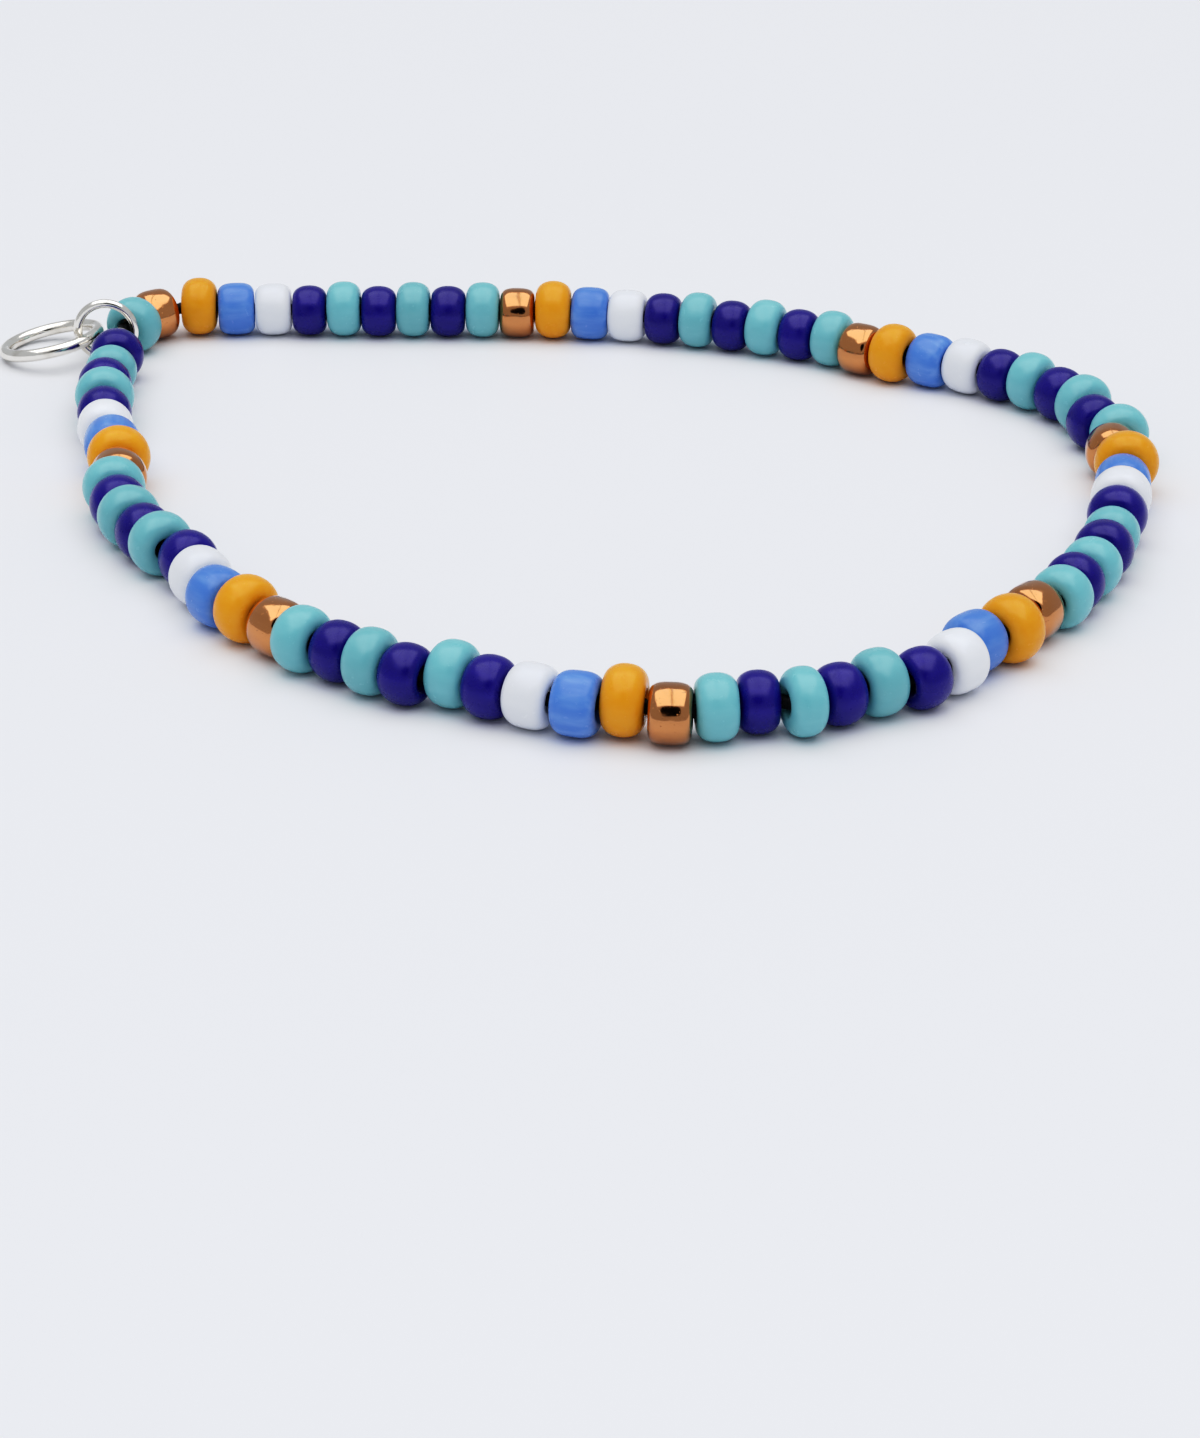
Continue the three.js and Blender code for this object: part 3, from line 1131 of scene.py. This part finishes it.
@dataclass
class WireRing:
    """A ring of round silver wire.

    Attributes:
        name: The piece's name.
        node: The frame's own ring, which says where it is.
        mean: Diameter at the middle of the wire.
        wire: Thickness of the wire.
        cut: Width of the cut where the ring opens, or zero for a soldered ring.
        opening: Where the cut is, in degrees round the ring.
    """

    name: str
    node: str
    mean: float
    wire: float
    cut: float = 0.0
    opening: float = 0.0

    WIRE_SIDES = 20
    STEPS = 96

    def build(self, axis: Vector) -> bpy.types.Object:
        """Turn the wire round the ring.

        Args:
            axis: The ring's own axis.

        Returns:
            The finished piece.
        """
        shape = bmesh.new()
        bmesh.ops.create_circle(
            shape, segments=self.WIRE_SIDES, radius=self.wire / 2, cap_ends=self.cut > 0
        )
        upright = Matrix.Rotation(math.pi / 2, 4, "X")
        out = Matrix.Translation((self.mean / 2, 0.0, 0.0))
        bmesh.ops.transform(shape, matrix=out @ upright, verts=shape.verts)
        profile = shape.verts[:] + shape.edges[:] + shape.faces[:]
        gap = self.cut / (self.mean / 2)
        turn_round(shape, profile, UP, self.STEPS, math.tau - gap)
        opening = Matrix.Rotation(math.radians(self.opening), 4, "Z")
        turn = UP.rotation_difference(axis).to_matrix().to_4x4()
        place = Matrix.Translation(middle_of(self.node)) @ turn @ opening
        bmesh.ops.transform(shape, matrix=place, verts=shape.verts)
        return finish_piece(self.name, shape, BRIGHT_SILVER, [self.node])


@dataclass
class Join:
    """What closes the loop: the crimp tube, the jump ring and the charm ring that it carries.

    Attributes:
        strand: The beads on either side of it.
        charm_heading: From the jump ring to the middle of the charm ring, in degrees.
    """

    strand: Strand
    charm_heading: float = 160.0

    JUMP_RING = WireRing("opened_jump_ring", "jump_ring", mean=3.2, wire=0.5, cut=0.06, opening=40.0)
    CHARM_RING = WireRing("plain_charm_ring", "charm_ring", mean=5.4, wire=0.7)

    def build(self) -> None:
        """Make the three silver pieces."""
        way = (self.strand.cord_end - self.strand.cord_start).normalized()
        CrimpTube(way).build()
        self.JUMP_RING.build(Vector((way.x, way.y, 0.0)).normalized())
        self.CHARM_RING.build(self.charm_axis())

    def charm_axis(self) -> Vector:
        """Return the axis of the charm ring, which leans on the jump ring as far as its box is high."""
        ring = self.CHARM_RING
        low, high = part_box(ring.node)
        lean = math.asin(((high.z - low.z) / MM - ring.wire) / ring.mean)
        away = along(math.radians(self.charm_heading))
        return away * math.sin(lean) + UP * math.cos(lean)


# ---- Studio ----


@dataclass
class Studio:
    """The table, the lights and the camera. The constants are in metres.

    Attributes:
        camera: Where the camera is, in millimetres.
        look_down: How far it looks down from level, in degrees.
        lens: Its focal length on a 36 mm sensor.
    """

    camera: Vector
    look_down: float = 26.4
    lens: float = 84.1

    TABLE_SIZE = 3.0
    SENSOR = 36.0  # millimetres
    AMBIENT = (0.9, 0.94, 1.0, 1.0)
    AMBIENT_STRENGTH = 0.45
    SOFTBOX_HEIGHT = 1.0
    SOFTBOX_FORWARD = 0.05
    SOFTBOX_APART = 0.78  # between the middles of the two
    SOFTBOX_SIZE = (0.74, 1.5)
    SOFTBOX_POWER = 4.8
    ALL_COLOURS = 3  # the curve for red, green and blue
    FILM = ((0.02, 0.008), (0.05, 0.028), (0.25, 0.265), (0.5, 0.59), (0.8, 0.83))  # light in, light out
    LENS_RADIUS = 0.055
    LENS_SIDES = 64
    LENS_SET_BACK = 0.012
    LENS_ABOVE = 0.025  # from the camera's axis to the middle of the black disc behind it

    def build(self) -> None:
        """Lay the table, hang the lights and set up the camera with its lens and film."""
        self.lay_table()
        self.light()
        self.set_camera()
        self.set_lens()
        self.develop()

    @staticmethod
    def set_out(name: str, shape: bmesh.types.BMesh, finish: Finish) -> bpy.types.Object:
        """Make a shape a part of the stage.

        Args:
            name: Its name.
            shape: The shape at the origin, in metres. It is used up.
            finish: What it is made of.

        Returns:
            The object at the origin.
        """
        prop = make_object(name, shape, finish)
        return prop

    def lay_table(self) -> None:
        """Make the surface that the bracelet lies on."""
        shape = bmesh.new()
        bmesh.ops.create_grid(shape, x_segments=1, y_segments=1, size=self.TABLE_SIZE / 2)
        self.set_out("tabletop", shape, Tabletop("tabletop", linear(0xEDEDF0), linear(0xE9EAEE)))

    def light(self) -> None:
        """Fill the room with dim light, and hang two long softboxes side by side over the table."""
        scene = bpy.context.scene
        scene.world = bpy.data.worlds.new("studio")
        scene.world.use_nodes = True
        background = scene.world.node_tree.nodes["Background"]
        background.inputs["Color"].default_value = self.AMBIENT
        background.inputs["Strength"].default_value = self.AMBIENT_STRENGTH
        for name, side in (("left_softbox", -0.5), ("right_softbox", 0.5)):
            lamp = bpy.data.lights.new(name, "AREA")
            lamp.shape = "RECTANGLE"
            lamp.size, lamp.size_y = self.SOFTBOX_SIZE
            lamp.energy = self.SOFTBOX_POWER
            softbox = bpy.data.objects.new(name, lamp)
            softbox.location = (side * self.SOFTBOX_APART, -self.SOFTBOX_FORWARD, self.SOFTBOX_HEIGHT)
            scene.collection.objects.link(softbox)

    def develop(self) -> None:
        """Give the picture a film's soft contrast, which deepens the shadows and lifts the middle tones."""
        settings = bpy.context.scene.view_settings
        settings.view_transform = "Standard"
        settings.use_curve_mapping = True
        curve = settings.curve_mapping.curves[self.ALL_COLOURS]
        for light_in, light_out in self.FILM:
            curve.points.new(light_in, light_out)
        settings.curve_mapping.update()

    def set_lens(self) -> None:
        """Set the black front of a lens behind the camera, for bright beads to reflect."""
        shape = bmesh.new()
        bmesh.ops.create_circle(
            shape, cap_ends=True, segments=self.LENS_SIDES, radius=self.LENS_RADIUS
        )
        black = BlackPaint("lens_black", linear(0x050506), linear(0x303033))
        disc = self.set_out("lens_front", shape, black)
        facing = Matrix.Rotation(math.radians(90 - self.look_down), 4, "X")
        back = Matrix.Translation((0.0, self.LENS_ABOVE, self.LENS_SET_BACK))
        disc.matrix_world = Matrix.Translation(self.camera * MM) @ facing @ back
        disc.visible_diffuse = False
        disc.visible_shadow = False

    def set_camera(self) -> None:
        """Set the camera in front of the loop, looking down on it."""
        lens = bpy.data.cameras.new("camera")
        lens.lens = self.lens
        lens.sensor_width = self.SENSOR
        lens.clip_start = MM
        camera = bpy.data.objects.new("camera", lens)
        camera.location = self.camera * MM
        camera.rotation_euler = (math.radians(90 - self.look_down), 0.0, 0.0)
        bpy.context.scene.collection.objects.link(camera)
        bpy.context.scene.camera = camera


def main() -> None:
    """Build the bracelet and the studio round it."""
    logging.basicConfig(level=logging.INFO, format="%(name)s: %(message)s")
    Studio(camera=Vector((2.66, -159.08, 67.0))).build()
    strand = Strand()
    strand.check_frame()
    Beads(strand).build()
    Cord(strand).build()
    Join(strand).build()


if __name__ == "__main__":
    main()
